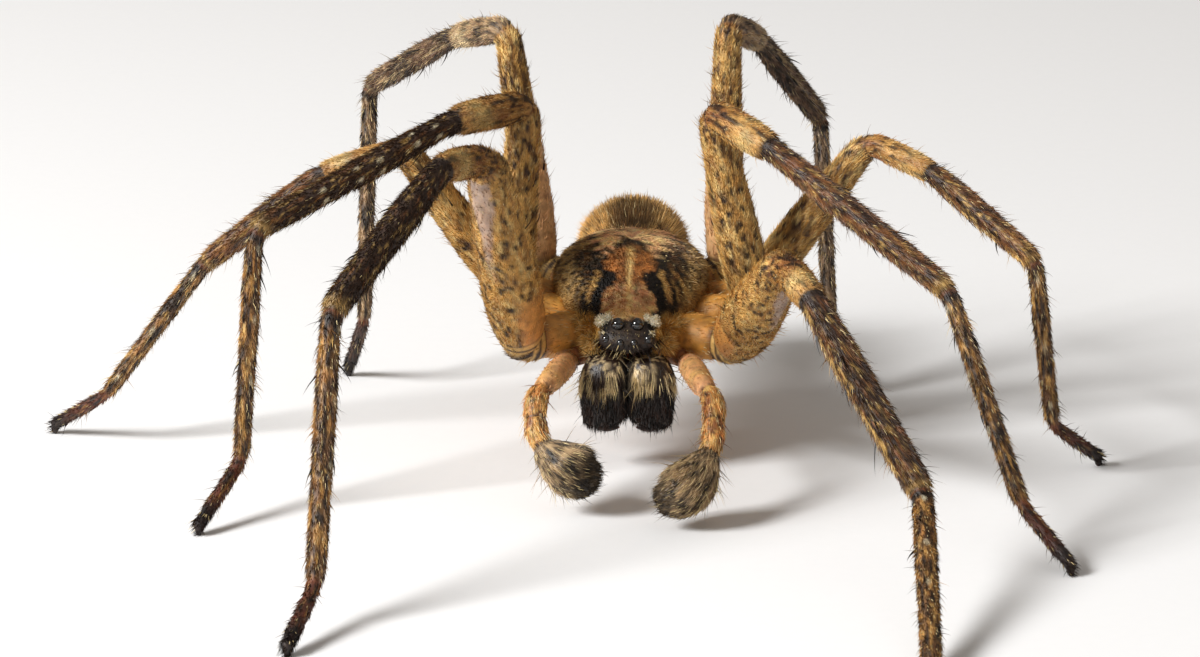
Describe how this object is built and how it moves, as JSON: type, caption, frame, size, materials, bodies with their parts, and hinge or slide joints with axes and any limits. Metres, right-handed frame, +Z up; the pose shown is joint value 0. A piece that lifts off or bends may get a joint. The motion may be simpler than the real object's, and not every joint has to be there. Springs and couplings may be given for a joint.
{
  "type": "dried spider specimen",
  "caption": "Dried long-legged hairy spider set in a standing pose on its own feet, a natural history specimen for a shelf, case or table",
  "frame": {"origin": "middle of the specimen's footprint box, on the surface that its feet stand on", "axes": "+Z up, the spider faces -Y, +X is the spider's own left"},
  "size_m": [0.0324, 0.0341, 0.0129],
  "materials": {
    "body_cuticle": "dry cuticle with short fur, orange-brown shield with dark bands",
    "abdomen_cuticle": "dry soft skin under tan and olive-black bristles",
    "jaw_cuticle": "hard dark cuticle with cream hair on its upper half",
    "palp_cuticle": "orange and cream cuticle with grey-brown hair on the bulbs",
    "leg_cuticle": "mottled cream and dark brown hairy cuticle"
  },
  "bodies": {
    "root": {"cephalothorax": "body_cuticle", "abdomen": "abdomen_cuticle", "chelicera_left": "jaw_cuticle", "chelicera_right": "jaw_cuticle", "palp_left": "palp_cuticle", "palp_right": "palp_cuticle", "leg_1_left": "leg_cuticle", "leg_1_right": "leg_cuticle", "leg_2_left": "leg_cuticle", "leg_2_right": "leg_cuticle", "leg_3_left": "leg_cuticle", "leg_3_right": "leg_cuticle", "leg_4_left": "leg_cuticle", "leg_4_right": "leg_cuticle"}
  },
  "joints": []
}
